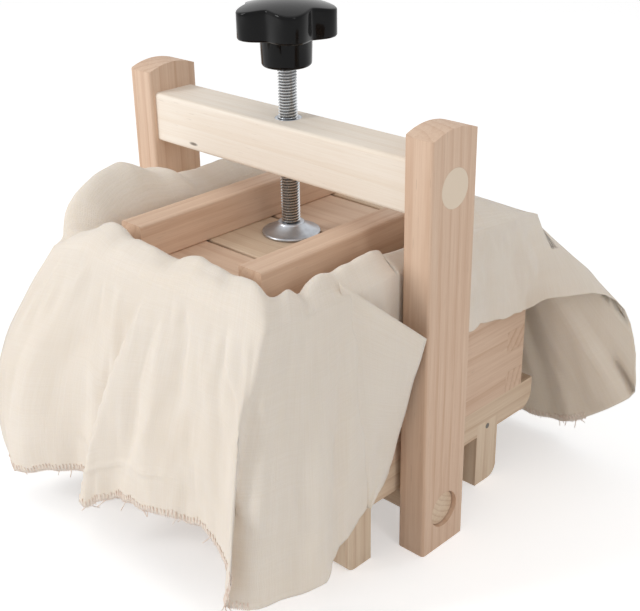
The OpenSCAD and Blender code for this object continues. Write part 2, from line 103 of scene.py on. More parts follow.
class Nodes:
    """A short way to add and join shader nodes in one tree."""

    def __init__(self, tree: bpy.types.NodeTree) -> None:
        """Keep the tree that the nodes go into."""
        self.tree = tree

    def add(self, kind: str, inputs: dict | None = None, **settings: object) -> bpy.types.Node:
        """Add a node, set its options and its inputs.

        Args:
            kind: Node type, such as ShaderNodeMath.
            inputs: Value or output socket for each input, by name or number.
            **settings: Options of the node.

        Returns:
            The new node.
        """
        node = self.tree.nodes.new(kind)
        for name, value in settings.items():
            setattr(node, name, value)
        self.fill(node, inputs or {})
        return node

    def fill(self, node: bpy.types.Node, inputs: dict) -> None:
        """Link or set inputs of a node.

        Args:
            node: The node.
            inputs: Value or output socket for each input, by name or number.
        """
        for name, value in inputs.items():
            if isinstance(value, Socket):
                self.tree.links.new(value, node.inputs[name])
            else:
                node.inputs[name].default_value = value

    def math(self, operation: str, a: object, b: object = 0.0, clamp: bool = False) -> Socket:
        """Combine two values or sockets."""
        return self.add("ShaderNodeMath", {0: a, 1: b}, operation=operation, use_clamp=clamp).outputs[0]

    def vector(self, operation: str, inputs: dict, output: int | str = 0) -> Socket:
        """Work on vectors, and give one output."""
        return self.add("ShaderNodeVectorMath", inputs, operation=operation).outputs[output]

    def length(self, vector: object) -> Socket:
        """Measure a vector."""
        return self.vector("LENGTH", {0: vector}, "Value")

    def place(self) -> Socket:
        """Give the object coordinates."""
        return self.add("ShaderNodeTexCoord").outputs["Object"]

    def scaled(self, vector: object, scale: Sequence[float]) -> Socket:
        """Scale a vector along its axes."""
        return self.add("ShaderNodeMapping", {"Vector": vector, "Scale": scale}).outputs["Vector"]

    def noise(self, vector: object, scale: float, detail: float = 2.0, rough: float = 0.5) -> Socket:
        """Give a noise value around 0.5, with the scale in cycles a metre."""
        inputs = {"Vector": vector, "Scale": scale, "Detail": detail, "Roughness": rough}
        return self.add("ShaderNodeTexNoise", inputs).outputs[0]

    def wander(self, place: Socket, guide: Socket, scale: float, distance: object) -> Socket:
        """Push a place about at random.

        Args:
            place: The place.
            guide: Vector that the noise is read at.
            scale: Cycles a metre.
            distance: Reach of the push in metres, as a value or socket.

        Returns:
            The pushed place.
        """
        bend = self.add("ShaderNodeTexNoise", {"Vector": guide, "Scale": scale, "Detail": 2.0})
        centred = self.vector("SUBTRACT", {0: bend.outputs["Color"], 1: (0.5, 0.5, 0.5)})
        return self.vector("ADD", {0: place, 1: self.vector("SCALE", {0: centred, "Scale": distance})})

    def ramp(self, value: object, low: float, high: float, to_low: float = 0.0, to_high: float = 1.0
             ) -> Socket:
        """Map the range from low to high smoothly onto another."""
        ends = {"Value": value, "From Min": low, "From Max": high, "To Min": to_low, "To Max": to_high}
        return self.add("ShaderNodeMapRange", ends, interpolation_type="SMOOTHSTEP").outputs["Result"]

    def mix(self, factor: object, first: object, second: object) -> Socket:
        """Mix two colours, with a factor for the share of the second."""
        return self.add("ShaderNodeMix", {0: factor, 6: first, 7: second}, data_type="RGBA").outputs[2]

    def relief(self, height: Socket, strength: float, distance: float) -> Socket:
        """Turn a height into a normal, with the distance in metres."""
        return self.add("ShaderNodeBump", {"Height": height, "Strength": strength,
                                           "Distance": distance}).outputs["Normal"]


def new_group(name: str, inputs: Iterable[tuple[str, str, object]], outputs: Iterable[str]
              ) -> tuple[bpy.types.NodeTree, Nodes, bpy.types.Node, bpy.types.Node]:
    """Start a shader node group.

    Args:
        name: Name of the group.
        inputs: Name, socket type and default of each input.
        outputs: Name of each output, all of them values.

    Returns:
        The group, its node helper, and its input and output nodes.
    """
    tree = bpy.data.node_groups.new(name, "ShaderNodeTree")
    for label, kind, default in inputs:
        socket = tree.interface.new_socket(label, in_out="INPUT", socket_type=kind)
        if default is not None:
            socket.default_value = default
    for label in outputs:
        tree.interface.new_socket(label, in_out="OUTPUT", socket_type="NodeSocketFloat")
    nodes = Nodes(tree)
    return tree, nodes, nodes.add("NodeGroupInput"), nodes.add("NodeGroupOutput")


def new_material(name: str) -> tuple[Material, Nodes, bpy.types.Node]:
    """Start a material with a Principled surface.

    Args:
        name: Name of the material.

    Returns:
        The material, its node helper and its Principled node.
    """
    material = bpy.data.materials.new(name)
    material.use_nodes = True
    return material, Nodes(material.node_tree), material.node_tree.nodes["Principled BSDF"]


class Effects:
    """Node groups that several finishes share, each built once."""

    fibre_scale: float = 1900.0
    strand_scale: float = 520.0
    fleck_scale: float = 1500.0
    slub_scale: float = 1900.0
    speck_scale: float = 2600.0
    thread_wander: float = 0.0022

    def __init__(self) -> None:
        """Build the groups."""
        self.grain = self.build_grain()
        self.weave = self.build_weave()
        self.dust = self.build_dust()

    def build_grain(self) -> bpy.types.NodeTree:
        """Build wood grain: growth rings round the Z axis, fibres along it.

        Returns:
            The group. Its Vector has the grain along Z, in metres.
        """
        tree, n, into, out = new_group(
            "wood_grain",
            [("Vector", "NodeSocketVector", None), ("Ring Spacing", "NodeSocketFloat", 0.003),
             ("Wander", "NodeSocketFloat", 0.004)],
            ["Rings", "Fibre", "Flecks", "Cloudy", "Height"])
        place = into.outputs["Vector"]
        moved = n.wander(place, n.scaled(place, (1, 1, 0.12)), 26.0, into.outputs["Wander"])
        flat = n.scaled(moved, (1, 1, 0))
        turns = n.math("DIVIDE", n.length(flat), into.outputs["Ring Spacing"])
        share = n.math("FRACT", n.math("ADD", turns, n.noise(flat, 60.0, 1.0)))
        late = n.math("MULTIPLY", n.ramp(share, 0.35, 0.94), n.ramp(share, 1.0, 0.95))
        late = n.math("POWER", late, 1.8)
        fibre = n.noise(n.scaled(moved, (1, 1, 0.018)), self.fibre_scale, 3.0, 0.65)
        strands = n.noise(n.scaled(moved, (1, 1, 0.03)), self.strand_scale, 2.0, 0.6)
        both = n.math("ADD", n.math("MULTIPLY", fibre, 0.55), n.math("MULTIPLY", strands, 0.45))
        fleck = n.ramp(n.noise(n.scaled(place, (1, 1, 0.06)), self.fleck_scale, 1.0), 0.7, 0.78)
        height = n.math("SUBTRACT", n.math("ADD", n.math("MULTIPLY", late, 0.35), both),
                        n.math("MULTIPLY", fleck, 0.5))
        n.fill(out, {"Rings": late, "Fibre": both, "Flecks": fleck, "Height": height,
                     "Cloudy": n.noise(n.scaled(place, (1, 1, 0.3)), 22.0, 3.0)})
        return tree

    def build_weave(self) -> bpy.types.NodeTree:
        """Build a plain weave on a UV map that is written in metres.

        Returns:
            The group, with thread height, thread unevenness and the gaps.
        """
        tree, n, into, out = new_group(
            "plain_weave",
            [("UV", "NodeSocketVector", None), ("Threads", "NodeSocketFloat", 1400.0)],
            ["Height", "Uneven", "Gap"])
        place = into.outputs["UV"]
        parts = n.add("ShaderNodeSeparateXYZ", {0: n.wander(place, place, 60.0, self.thread_wander)})
        across, along = (n.math("MULTIPLY", parts.outputs[axis], into.outputs["Threads"]) for axis in "XY")
        warp, weft = (n.math("ABSOLUTE", n.math("SINE", n.math("MULTIPLY", way, math.pi)))
                      for way in (across, along))
        over = n.math("MODULO", n.math("ADD", n.math("FLOOR", across), n.math("FLOOR", along)), 2.0)
        height = n.math("ADD", n.math("MULTIPLY", warp, n.math("SUBTRACT", 1.3, over)),
                        n.math("MULTIPLY", weft, n.math("ADD", 0.3, over)))
        slubs = [n.noise(n.scaled(place, scale), self.slub_scale, 1.0)
                 for scale in ((1, 0.012, 1), (0.012, 1, 1))]
        n.fill(out, {"Height": height, "Uneven": n.math("MULTIPLY", n.math("ADD", *slubs), 0.5),
                     "Gap": n.math("MULTIPLY", n.ramp(warp, 0.45, 0.1), n.ramp(weft, 0.45, 0.1))})
        return tree

    def build_dust(self) -> bpy.types.NodeTree:
        """Build fine specks and soft smears.

        Returns:
            The group, with a speck mask and a smear value.
        """
        tree, n, into, out = new_group("specks_and_smears", [("Vector", "NodeSocketVector", None)],
                                       ["Specks", "Smears"])
        place = into.outputs["Vector"]
        n.fill(out, {"Specks": n.ramp(n.noise(place, self.speck_scale, 1.0), 0.74, 0.8),
                     "Smears": n.noise(n.scaled(place, (1, 1, 0.4)), 90.0, 4.0, 0.6)})
        return tree


# --------------------------------------------------------------------- finishes


@dataclass(frozen=True)
class Finish:
    """A surface with a procedural material of its own."""

    name: str

    def build(self, effects: Effects) -> Material:
        """Make the material.

        Args:
            effects: Shared node groups.

        Returns:
            The material.
        """
        material, n, surface = new_material(self.name)
        n.fill(surface, self.inputs(n, effects))
        return material

    def inputs(self, n: Nodes, effects: Effects) -> dict:
        """Work out the inputs of the Principled surface.

        Args:
            n: Node helper of the material.
            effects: Shared node groups.

        Returns:
            Value or output socket for each input, by name.
        """
        raise NotImplementedError


@dataclass(frozen=True)
class Timber(Finish):
    """Planed, unoiled softwood. The ring centre is the tree's heart beside the piece."""

    pale: Colour
    dark: Colour
    along: Axis
    heart: Point
    ring_spacing: float = 5.5
    contrast: float = 0.42
    knot: Point | None = None
    knot_size: float = 3.0
    end_from: float | None = None
    wander: float = 6.0
    fibre_share: float = 0.3
    cloudy_share: float = 0.22
    fleck_share: float = 0.22

    def inputs(self, n: Nodes, effects: Effects) -> dict:
        """Saw the wood out of its tree, on object coordinates. See Finish."""
        place = n.place()
        turn = {Axis.X: (0, -math.pi / 2, 0), Axis.Y: (math.pi / 2, 0, 0), Axis.Z: (0, 0, 0)}[self.along]
        shift = -(Euler(turn).to_matrix() @ (Vector(self.heart) * MM))
        sawn = n.add("ShaderNodeMapping", {"Vector": place, "Rotation": turn, "Location": shift})
        grain = n.add("ShaderNodeGroup", {"Vector": sawn.outputs["Vector"], "Wander": self.wander * MM,
                                          "Ring Spacing": self.ring_spacing * MM},
                      node_tree=effects.grain).outputs
        stripes = n.math("MULTIPLY", grain["Rings"], self.contrast)
        fibres = n.ramp(grain["Fibre"], 0.35, 0.68, 0.0, self.fibre_share)
        cloudy = n.ramp(grain["Cloudy"], 0.3, 0.75, 0.0, self.cloudy_share)
        share = n.math("ADD", n.math("ADD", stripes, fibres), cloudy, clamp=True)
        colour = n.mix(share, self.pale, self.dark)
        colour = n.mix(n.math("MULTIPLY", grain["Flecks"], self.fleck_share), colour, darker(self.dark, 0.55))
        if self.knot is not None:
            colour = n.mix(self.knot_mask(n, place), colour, darker(self.dark, 0.3))
        if self.end_from is not None:
            far = n.length(n.scaled(place, tuple(float(axis is self.along) for axis in Axis)))
            start = self.end_from * MM
            colour = n.mix(n.ramp(far, start, start + MM), colour, self.dark)
        return {"Base Color": colour, "Roughness": n.ramp(grain["Fibre"], 0.3, 0.7, 0.52, 0.7),
                "Normal": n.relief(grain["Height"], 0.22, 0.00025)}

    def knot_mask(self, n: Nodes, place: Socket) -> Socket:
        """Mask a small dead knot.

        Args:
            n: Node helper of the material.
            place: Object coordinates.

        Returns:
            The knot's mask.
        """
        offset = n.vector("SUBTRACT", {0: place, 1: tuple(c * MM for c in self.knot)})
        squashed = n.add("ShaderNodeMapping", {"Vector": offset, "Rotation": (0, -0.6, 0),
                                               "Scale": (0.42, 1, 1.5)}).outputs["Vector"]
        size = self.knot_size * MM
        return n.ramp(n.length(squashed), size, size * 0.35)


@dataclass(frozen=True)
class ZincSteel(Finish):
    """Bright zinc plating over steel, with painted shade darkening the roots of a thread on the Z axis."""

    colour: Colour
    roughness: float
    root_radius: float | None = None
    crest_radius: float = 5.0
    smear_light: float = 0.72
    root_shade_light: float = 0.3
    smear_roughness: float = 0.16

    def inputs(self, n: Nodes, effects: Effects) -> dict:
        """Plate the steel, on object coordinates. See Finish."""
        place = n.place()
        smears = n.add("ShaderNodeGroup", {"Vector": place}, node_tree=effects.dust).outputs["Smears"]
        colour = n.mix(n.ramp(smears, 0.4, 0.75), self.colour, darker(self.colour, self.smear_light))
        if self.root_radius is not None:
            far = n.length(n.scaled(place, (1, 1, 0)))
            # Painted shade: the thread's roots are darkened towards the root radius, standing in for the shadow
            # between the flanks.
            root_shade_mask = n.ramp(far, self.crest_radius * MM * 0.97, self.root_radius * MM)
            colour = n.mix(root_shade_mask, colour, darker(self.colour, self.root_shade_light))
        rough = n.ramp(smears, 0.3, 0.7, self.roughness, self.roughness + self.smear_roughness)
        return {"Base Color": colour, "Metallic": 1.0, "Roughness": rough,
                "Normal": n.relief(n.noise(place, 3500.0, 2.0), 0.12, 0.0001)}


@dataclass(frozen=True)
class GlossPlastic(Finish):
    """Moulded black plastic with a faint orange peel."""

    colour: Colour
    dust: Colour = linear(120, 118, 114)
    dust_share: float = 0.05

    def inputs(self, n: Nodes, effects: Effects) -> dict:
        """Mould the plastic, on object coordinates. See Finish."""
        place = n.place()
        wear = n.add("ShaderNodeGroup", {"Vector": place}, node_tree=effects.dust).outputs
        dusty = n.math("MULTIPLY", wear["Specks"], self.dust_share)
        return {"Base Color": n.mix(dusty, self.colour, self.dust), "Specular IOR Level": 0.16,
                "Roughness": n.ramp(wear["Smears"], 0.3, 0.75, 0.1, 0.17),
                "Normal": n.relief(n.noise(place, 420.0, 2.0), 0.06, 0.0003)}


@dataclass(frozen=True)
class Muslin(Finish):
    """Unbleached cotton muslin, thin enough to glow a little."""

    colour: Colour
    shade: Colour
    threads_per_metre: float = 2100.0
    uneven_share: float = 0.2
    cloudy_share: float = 0.25
    gap_shade_share: float = 0.4

    def inputs(self, n: Nodes, effects: Effects) -> dict:
        """Weave the cloth, on its UV map in metres. See Finish."""
        place = n.add("ShaderNodeUVMap", uv_map="cut").outputs["UV"]
        weave = n.add("ShaderNodeGroup", {"UV": place, "Threads": self.threads_per_metre},
                      node_tree=effects.weave).outputs
        uneven = n.ramp(weave["Uneven"], 0.38, 0.62)
        cloudy = n.ramp(n.noise(place, 14.0, 3.0), 0.35, 0.7)
        colour = n.mix(n.math("MULTIPLY", uneven, self.uneven_share), self.colour, self.shade)
        colour = n.mix(n.math("MULTIPLY", cloudy, self.cloudy_share), colour, self.shade)
        # Painted shade: the gaps between the threads are darkened.
        colour = n.mix(n.math("MULTIPLY", weave["Gap"], self.gap_shade_share), colour, darker(self.shade, 0.72))
        height = n.math("ADD", weave["Height"], n.math("MULTIPLY", uneven, 0.8))
        return {"Base Color": colour, "Roughness": 0.9, "Sheen Weight": 0.25, "Sheen Roughness": 0.6,
                "Subsurface Weight": 0.18, "Subsurface Radius": (1.0, 0.8, 0.55),
                "Subsurface Scale": 0.002, "Normal": n.relief(height, 0.3, 0.00025)}


@dataclass(frozen=True)
class Thread(Finish):
    """Cotton sewing thread."""

    colour: Colour
    shade: Colour

    def inputs(self, n: Nodes, effects: Effects) -> dict:
        """Spin the thread, on object coordinates. See Finish."""
        cloudy = n.ramp(n.noise(n.place(), 400.0, 2.0), 0.35, 0.65)
        return {"Base Color": n.mix(cloudy, self.colour, self.shade), "Roughness": 0.85}


# ------------------------------------------------------------------ mesh helpers


def finish_mesh(name: str, mesh: bmesh.types.BMesh, material: Material, smooth: float | None = 35.0
                ) -> Piece:
    """Turn a bmesh into an object at the origin.

    Args:
        name: Name of the piece.
        mesh: The shape, in metres, freed here.
        material: Its finish.
        smooth: Angle in degrees under which edges shade smoothly, or None for flat.

    Returns:
        The new object.
    """
    data = bpy.data.meshes.new(name)
    mesh.to_mesh(data)
    mesh.free()
    piece = bpy.data.objects.new(name, data)
    bpy.context.scene.collection.objects.link(piece)
    data.materials.append(material)
    if smooth is not None:
        data.shade_smooth()
        data.set_sharp_from_angle(angle=math.radians(smooth))
    return piece


def dress(node: str, material: Material) -> None:
    """Give a CAD node its finish.

    Args:
        node: Name of the node.
        material: The finish.
    """
    piece = bpy.data.objects[node]
    piece.data.materials.clear()
    piece.data.materials.append(material)
    LOG.info("dressed %s in %s", node, material.name)


def declare(piece: Piece, body: str, slot: str, *nodes: str) -> None:
    """Attach a piece to the body that it moves with, and hide the nodes that it stands for.

    Args:
        piece: The piece.
        body: Body that it moves with.
        slot: Not used.
        *nodes: CAD nodes that it replaces, if any.
    """
    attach(piece, body)
    if nodes:
        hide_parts(*nodes)
    LOG.info("built %s, %d faces", piece.name, len(piece.data.polygons))


def revolve(profile: Sequence[tuple[float, float]], steps: int = 96) -> bmesh.types.BMesh:
    """Spin a profile of (radius, height) round the Z axis.

    Args:
        profile: Points in millimetres, from the lower centre outwards and back.
        steps: Steps round the axis.

    Returns:
        The turned shape, in metres.
    """
    mesh = bmesh.new()
    verts = [mesh.verts.new((r * MM, 0, z * MM)) for r, z in profile]
    edges = [mesh.edges.new(pair) for pair in zip(verts, verts[1:])]
    bmesh.ops.spin(mesh, geom=verts + edges, cent=(0, 0, 0), axis=(0, 0, 1), dvec=(0, 0, 0),
                   angle=math.tau, steps=steps, use_merge=True, use_duplicate=False)
    bmesh.ops.remove_doubles(mesh, verts=mesh.verts[:], dist=1e-6)
    bmesh.ops.recalc_face_normals(mesh, faces=mesh.faces[:])
    return mesh


def arc(centre: tuple[float, float], radius: float, start: float, end: float, count: int = 6
        ) -> list[tuple[float, float]]:
    """List points on a round stretch of a profile.

    Args:
        centre: Centre of the arc.
        radius: Radius of the arc.
        start: First angle in degrees.
        end: Last angle in degrees.
        count: Number of steps.

    Returns:
        The points, both ends included.
    """
    angles = [math.radians(start + (end - start) * i / count) for i in range(count + 1)]
    return [(centre[0] + radius * math.cos(a), centre[1] + radius * math.sin(a)) for a in angles]


# ------------------------------------------------------------------------- screw


@dataclass
class Screw:
    """The threaded rod with its knob, foot and insert, turned on the Z axis."""

    rod_d: float = 10.0
    pitch: float = 1.5
    thread_depth: float = 0.9
    thread_from: float = 154.9
    thread_to: float = 258.0
    thread_steps: int = 26
    knob_low: float = 237.0
    hub_h: float = 14.6
    hub_d: float = 26.3
    knob_d: float = 51.2
    valley_d: float = 39.0
    lobe_side: float = 13.8
    dome: float = 4.4
    lobes: int = 5
    lobe_turn: float = -38.0
    foot_d: float = 31.0
    foot_low: float = 148.2
    foot_h: float = 6.4
    lobe_inset: float = 3.0
    insert_low: float = 188.5
    insert_top: float = 210.5
    bore: float = 5.08

    def build(self, zinc: Material, bright: Material, plastic: Material) -> None:
        """Build the four pieces.

        Args:
            zinc: Plating of the rod.
            bright: Plating of the foot and insert.
            plastic: The knob's plastic.
        """
        dress("knob_bush", bright)
        for name, mesh, material, angle, body, slot, node in (
                ("screw_rod", self.rod(), zinc, 50, "screw", "zinc_steel", "threaded_spindle"),
                ("knob_moulding", self.knob(), plastic, 40, "screw", "knob_plastic", "star_knob"),
                ("pressed_foot", self.foot(), bright, 40, "foot", "zinc_steel", "foot_disc"),
                ("beam_nut", self.nut(), bright, 30, "frame_and_base", "zinc_steel", "beam_insert")):
            declare(finish_mesh(name, mesh, material, angle), body, slot, node)

    def rod(self) -> bmesh.types.BMesh:
        """Cut the thread by sweeping one tooth up a helix, and cap it at both ends.

        Returns:
            The rod's shape.
        """
        crest = self.rod_d / 2
        root = crest - self.thread_depth
        tooth = [(root, 0.0), (root, 0.16), (crest, 0.66), (crest, 0.84), (root, 1.34), (root, self.pitch)]
        turns = math.ceil((self.thread_to - self.thread_from) / self.pitch) + 2
        mesh = bmesh.new()
        base = self.thread_from - self.pitch
        verts = [mesh.verts.new((r * MM, 0, (base + z) * MM)) for r, z in tooth]
        edges = [mesh.edges.new(pair) for pair in zip(verts, verts[1:])]
        steps = turns * self.thread_steps
        bmesh.ops.spin(mesh, geom=verts + edges, cent=(0, 0, 0), axis=(0, 0, 1),
                       dvec=(0, 0, turns * self.pitch * MM / steps), angle=math.tau * turns,
                       steps=steps, use_merge=False, use_duplicate=False)
        bmesh.ops.remove_doubles(mesh, verts=mesh.verts[:], dist=2e-5)
        for height, side in ((self.thread_from, 1), (self.thread_to, -1)):
            bmesh.ops.bisect_plane(mesh, geom=mesh.verts[:] + mesh.edges[:] + mesh.faces[:], dist=1e-7,
                                   plane_co=(0, 0, height * MM), plane_no=(0, 0, side), clear_inner=True)
            rim = [e for e in mesh.edges if e.is_boundary
                   and all(abs(v.co.z - height * MM) < 1e-5 for v in e.verts)]
            bmesh.ops.holes_fill(mesh, edges=rim, sides=0)
        bmesh.ops.recalc_face_normals(mesh, faces=mesh.faces[:])
        return mesh

    def lobe_radius(self, angle: float) -> float:
        """Radius of the lobed outline at an angle in radians."""
        wave = 0.5 + 0.5 * math.cos(self.lobes * (angle - math.radians(self.lobe_turn)))
        return self.valley_d / 2 + (self.knob_d - self.valley_d) / 2 * wave ** 0.85

    def knob(self) -> bmesh.types.BMesh:
        """Loft the knob from its hub's underside, round the lobes, to the dome.

        Returns:
            The knob's shape.
        """
        under = self.knob_low + self.hub_h
        hub = self.hub_d / 2
        rings = [(0, 5.3, self.knob_low + 3), (0, 5.3, self.knob_low), (0, hub - 2.4, self.knob_low)]
        rings += [(0, r, z) for r, z in arc((hub - 2.4, self.knob_low + 2.0), 2.0, -70, 0, 5)]
        rings += [(0, hub, under - 1.4), (0.08, hub + 0.3, under - 0.5), (0.3, hub + 0.9, under - 0.05)]
        rings += [(1, inset, z) for inset, z in ((-3.0, under), (-1.4, under + 0.12),
                                                 (-0.5, under + 0.5), (0, under + 1.4))]
        mesh = bmesh.new()
        made = bmesh.ops.create_circle(mesh, cap_ends=False, segments=220, radius=1.0)["verts"]
        angles = [math.atan2(v.co.y, v.co.x) for v in made]
        self.place_ring(made, angles, rings[0])
        loop = made
        for ring in rings[1:]:
            loop = self.next_ring(mesh, loop)
            self.place_ring(loop, angles, ring)
        crown = [(1.0, inset, drop) for inset, drop in (
            (0, -1.8), (0, -0.7), (0.06, -0.4), (0.22, -0.16), (0.5, -0.03), (1.4, 0.0))]
        crown += [(share, 1.4, 0.0) for share in (0.86, 0.76, 0.64, 0.52, 0.4, 0.28, 0.16, 0.06)]
        for share, inset, drop in crown:
            loop = self.next_ring(mesh, loop)
            for vert, angle in zip(loop, angles):
                self.put(vert, angle, share * (self.lobe_radius(angle) - inset), drop)
        bmesh.ops.contextual_create(mesh, geom=loop)
        bmesh.ops.recalc_face_normals(mesh, faces=mesh.faces[:])
        return mesh

    def put(self, vert: bmesh.types.BMVert, angle: float, radius: float, drop: float) -> None:
        """Put a point on the dome that tops the knob, or below it.

        Args:
            vert: The point.
            angle: Its angle in radians.
            radius: Its distance from the axis.
            drop: Its height relative to the dome.
        """
        top = self.knob_low + self.hub_h + self.lobe_side + self.dome
        height = top - self.dome * (2 * radius / self.knob_d) ** 2 + drop
        vert.co = Vector((math.cos(angle) * radius, math.sin(angle) * radius, height)) * MM

    def place_ring(self, loop: list, angles: list[float], ring: Point) -> None:
        """Put a ring of points at a height.

        Args:
            loop: Points of the ring.
            angles: Angle of each point.
            ring: Share of the lobed outline, radius or inset, and height.
        """
        lobed, radius, height = ring
        for vert, angle in zip(loop, angles):
            outline = self.lobe_radius(angle) + (radius if lobed == 1 else -self.lobe_inset)
            r = outline if lobed == 1 else lobed * outline + (1 - lobed) * radius
            vert.co = Vector((math.cos(angle) * r, math.sin(angle) * r, height)) * MM

    @staticmethod
    def next_ring(mesh: bmesh.types.BMesh, loop: list) -> list:
        """Extrude an open ring of points.

        Args:
            mesh: The shape.
            loop: Points of the ring, in order.

        Returns:
            The new points, in the same order.
        """
        pairs = zip(loop, loop[1:] + loop[:1])
        edges = [mesh.edges.get(pair) for pair in pairs]
        grown = bmesh.ops.extrude_edge_only(mesh, edges=edges)["geom"]
        fresh = {v for v in grown if isinstance(v, bmesh.types.BMVert)}
        return [next(e.other_vert(v) for e in v.link_edges if e.other_vert(v) in fresh) for v in loop]

    def foot(self) -> bmesh.types.BMesh:
        """Turn the dished foot with its rolled rim and neck.

        Returns:
            The foot's shape.
        """
        rim, low, top = self.foot_d / 2, self.foot_low, self.foot_low + self.foot_h
        profile = [(5.5, low), (rim - 0.8, low)]
        profile += arc((rim - 0.8, low + 0.8), 0.8, -60, 90, 6)
        profile += [(rim - 1.6, low + 1.75), (rim - 3.0, low + 2.35), (rim - 4.8, low + 3.2),
                    (rim - 6.4, low + 4.15), (8.3, low + 4.75), (7.5, low + 5.4), (7.2, top - 0.7)]
        profile += arc((6.5, top - 0.7), 0.7, 0, 90, 4)
        profile += [(4.0, top), (3.6, top - 0.4), (3.6, top - 1.6), (5.5, top - 1.6), (5.5, low)]
        return revolve(profile)

    def nut(self) -> bmesh.types.BMesh:
        """Turn the insert, whose rim shows round the rod.

        Returns:
            The insert's shape.
        """
        bore, top, low = self.bore, self.insert_top, self.insert_low
        return revolve([(bore, low), (7.0, low), (7.0, top - 0.15), (6.85, top), (5.7, top),
                        (bore, top - 0.5), (bore, low)], 72)


# ------------------------------------------------------------------------- wood


@dataclass
class Woodwork:
    """Every wooden piece of the frame, base, mould and lid, with its own board."""

    tan: Colour = linear(224, 196, 172)
    tan_dark: Colour = linear(192, 152, 122)
    pale: Colour = linear(245, 235, 222)
    pale_dark: Colour = linear(230, 212, 190)
    honey: Colour = linear(226, 205, 180)
    honey_dark: Colour = linear(196, 164, 134)

    def dress(self, effects: Effects, nail: Material) -> None:
        """Give each board its own cut of wood.

        Args:
            effects: Shared node groups.
            nail: Finish of the nails.
        """
        for timber, nodes in self.boards():
            material = timber.build(effects)
            for node in nodes:
                dress(node, material)
        for node in ("lid_nails", "floor_nails", "leg_nails"):
            dress(node, nail)

    def boards(self) -> list[tuple[Timber, list[str]]]:
        """List the boards and the nodes sawn from each.

        Returns:
            Pairs of a timber and its nodes.
        """
        tan = (self.tan, self.tan_dark)
        pale = (self.pale, self.pale_dark)
        honey = (self.honey, self.honey_dark)
        boards = [
            (Timber("post_right_wood", *tan, Axis.Z, (50, -150, 0), 6.0, 0.24), ["post_right"]),
            (Timber("post_left_wood", *tan, Axis.Z, (-190, 60, 0), 6.0, 0.3), ["post_left"]),
            (Timber("beam_wood", *pale, Axis.X, (0, 60, 240), 7.5, 0.2, (-60, -13.5, 187.5), 1.8, 100.0),
             ["cross_beam"]),
            (Timber("rod_wood", *honey, Axis.X, (0, 12, 40), 3.0), ["cross_rod"]),
            (Timber("front_wall_wood", *tan, Axis.X, (0, -60, 20), 5.0), ["wall_front"]),
            (Timber("back_wall_wood", *tan, Axis.X, (0, 140, 40), 5.0), ["wall_back"]),
            (Timber("left_wall_wood", *tan, Axis.Y, (-120, 0, 60), 6.0), ["wall_left"]),
            (Timber("right_wall_wood", *tan, Axis.Y, (190, 0, 20), 9.0, 0.3), ["wall_right"]),
            (Timber("left_rail_wood", *honey, Axis.Y, (-90, 0, 70), 4.5), ["rail_left"]),
            (Timber("right_rail_wood", *honey, Axis.Y, (20, 0, -10), 5.5, 0.35), ["rail_right"]),
        ]
        hearts = {"leg_front_left": (-90, -30, 0), "leg_front_right": (20, -115, 0),
                  "leg_back_left": (-40, 90, 0), "leg_back_right": (150, 105, 0)}
        boards += [(Timber(f"{leg}_wood", *honey, Axis.Z, heart, 5.0), [leg])
                   for leg, heart in hearts.items()]
        boards += [(Timber(f"lid_slat_{i}_wood", *(tan if i % 2 else honey), Axis.X,
                           (0, -60 + 46 * i, 148 + 60 * (-1) ** i), 6.0, 0.2), [f"lid_slat_{i}"])
                   for i in range(1, 5)]
        boards += [(Timber(f"cleat_{side}_wood", *tan, Axis.Y, (x, 0, 190), 5.0, 0.22), [f"lid_cleat_{side}"])
                   for side, x in (("left", -75), ("right", 10))]
        boards += [(Timber(f"floor_slat_{i}_wood", *honey, Axis.X, (0, -90 + 40 * i, 80), 5.0),
                    [f"floor_slat_{i}"]) for i in range(1, 5)]
        return boards


# ------------------------------------------------------------------------- cloth


def read_table(table: Table, at: float) -> list[float]:
    """Read a table along a smooth curve through its rows.

    Args:
        table: Rows of place and values, in order of place.
        at: Place to read.

    Returns:
        The values there.
    """
    last = len(table) - 1
    i = next((k for k in range(last) if at < table[k + 1][0]), last - 1)
    rows = [table[min(max(k, 0), last)] for k in (i - 1, i, i + 1, i + 2)]
    span = rows[2][0] - rows[1][0]
    t = min(max((at - rows[1][0]) / span, 0.0), 1.0)
    values = []
    for k in range(1, len(table[0])):
        before, first, second, after = (row[k] for row in rows)
        enter = span * (second - before) / max(rows[2][0] - rows[0][0], span)
        leave = span * (after - first) / max(rows[3][0] - rows[1][0], span)
        values.append(first * (2 * t ** 3 - 3 * t ** 2 + 1) + enter * (t ** 3 - 2 * t ** 2 + t)
                      + second * (3 * t ** 2 - 2 * t ** 3) + leave * (t ** 3 - t ** 2))
    return values


def smooth(value: float) -> float:
    """Ease a share from 0 to 1, and hold it outside that range."""
    value = min(max(value, 0.0), 1.0)
    return value * value * (3 - 2 * value)


class FoldKind(Enum):
    """Shape of a fold across its line."""

    ROLL = "soft on both sides"
    LEDGE = "soft on one side, with a sharp edge where one layer lies over the next"


@dataclass(frozen=True)
class Fold:
    """A fold that runs down the hanging cloth, from one place to another."""

    top: float
    hem: float
    width: float
    depth: float
    start: float = 0.0
    kind: FoldKind = FoldKind.ROLL
    end: float = 1.4

    def push(self, s: float, v: float) -> float:
        """Distance that the fold lifts the cloth.

        Args:
            s: Place along the walls, in millimetres.
            v: Share of the way down to the hem.

        Returns:
            The lift in millimetres.
        """
        if v <= self.start or v >= self.end:
            return 0.0
        down = (v - self.start) / (1 - self.start)
        fade = smooth((self.end - v) / 0.2)
        line = self.top + (self.hem - self.top) * v
        reach = self.width * (0.5 + 0.5 * down)
        off = (s - line) / reach
        across = math.exp(-off * off)
        if self.kind is FoldKind.LEDGE:
            edge = smooth((s - line) / 1.6 + 0.5)
            across = math.exp(-off * abs(off) * 0.6) * edge if off > -1 else 0.0
        return self.depth * math.sin(math.pi / 2 * min(down * 1.6, 1.0)) * across * fade


